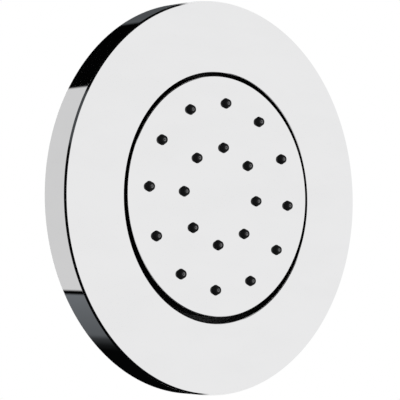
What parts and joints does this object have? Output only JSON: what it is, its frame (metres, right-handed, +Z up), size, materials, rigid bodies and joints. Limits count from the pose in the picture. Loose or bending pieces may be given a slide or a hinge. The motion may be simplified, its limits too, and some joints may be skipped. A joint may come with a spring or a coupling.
{
  "type": "shower body jet",
  "caption": "Flush round shower body jet: polished wall cover with a swivelling spray head on a ball joint, rubber nozzles in two rings and a threaded rear inlet.",
  "frame": {"origin": "on the jet's axis, in the plane of the wall that the cover stands against", "axes": "+Z up, the spray looks along -Y, the inlet leaves along +Y into the wall, +X to the right seen from the front"},
  "size_m": [0.12, 0.0553, 0.12],
  "materials": {
    "polished_chrome": "polished chrome plate on brass",
    "black_silicone": "smooth moulded silicone, half matt",
    "black_nitrile": "matt rubber",
    "gasket_foam": "closed-cell foam",
    "grey_nylon": "glass-filled nylon with a fine moulded grain",
    "black_plastic": "moulded, fine grain",
    "white_acetal": "smooth, waxy",
    "turned_brass": "bright turned, with fine tool marks",
    "stainless": "stamped and bright rolled",
    "red_fibre": "vulcanised fibre, matt"
  },
  "bodies": {
    "base": {"escutcheon": "polished_chrome", "escutcheon_o_ring": "black_nitrile", "mounting_cup": "grey_nylon", "mounting_ring": "grey_nylon", "wall_gasket": "gasket_foam", "ball_connector": "turned_brass", "cup_washer": "red_fibre", "lock_washer": "stainless", "lock_nut": "turned_brass", "flow_regulator": "white_acetal", "regulator_o_ring": "black_nitrile", "filter_washer": "black_nitrile", "filter_mesh": "stainless"},
    "turning_liner": {"front_liner": "white_acetal"},
    "nodding_liner": {"rear_liner": "white_acetal"},
    "spray_head": {"spray_plate": "polished_chrome", "nozzle_mat": "black_silicone", "head_body": "black_plastic", "plate_screws": "stainless", "ball_seal": "black_nitrile", "ball_nut": "black_plastic"}
  },
  "joints": [
    {"name": "head_turn", "type": "hinge", "parent": "base", "child": "turning_liner", "pos_m": [0, 0.00245, 0], "axis": [0, 0, 1], "range_deg": [-4.3, 5.7]},
    {"name": "head_nod", "type": "hinge", "parent": "turning_liner", "child": "nodding_liner", "pos_m": [0, 0.00245, 0], "axis": [-0.9999, 0.0122, 0], "range_deg": [-5.4, 4.6]},
    {"name": "head_spin", "type": "hinge", "parent": "nodding_liner", "child": "spray_head", "pos_m": [0, 0.00245, 0], "axis": [0.0122, 0.9999, -0.007], "continuous": true}
  ]
}
